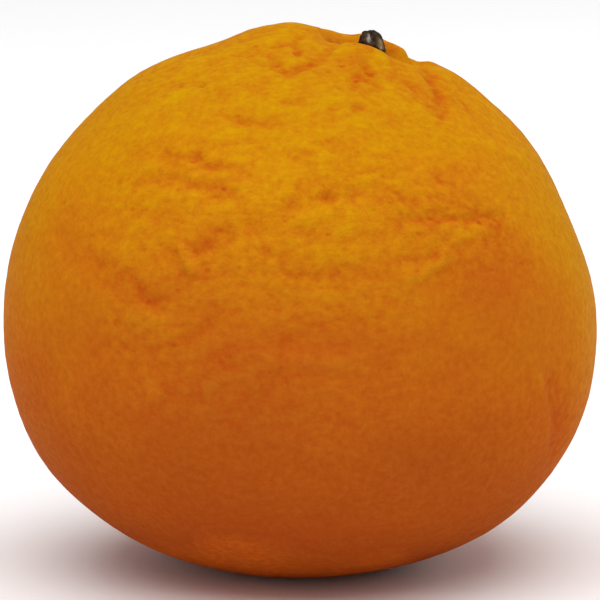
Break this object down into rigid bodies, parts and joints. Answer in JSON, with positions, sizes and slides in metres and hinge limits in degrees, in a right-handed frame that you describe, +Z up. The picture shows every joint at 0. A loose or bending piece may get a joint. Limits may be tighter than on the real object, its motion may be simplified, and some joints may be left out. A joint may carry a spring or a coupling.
{
  "type": "mandarin",
  "caption": "Whole ripe mandarin with a swollen neck, a woody calyx in its stem recess and the clipped stub of its stem, resting on a small flat spot",
  "frame": {"origin": "centre of the bounding box's bottom, on the surface that the fruit rests on", "axes": "+Z up, through the flat spot at the blossom end; the stem end leans towards +X; the side with the swollen knob beside the recess is -X"},
  "size_m": [0.0722, 0.0724, 0.0663],
  "materials": {
    "peel": "satin",
    "calyx": "matte",
    "stem": "matte"
  },
  "bodies": {
    "root": {"fruit": "peel", "calyx": "calyx", "stem_stub": "stem"}
  },
  "joints": []
}
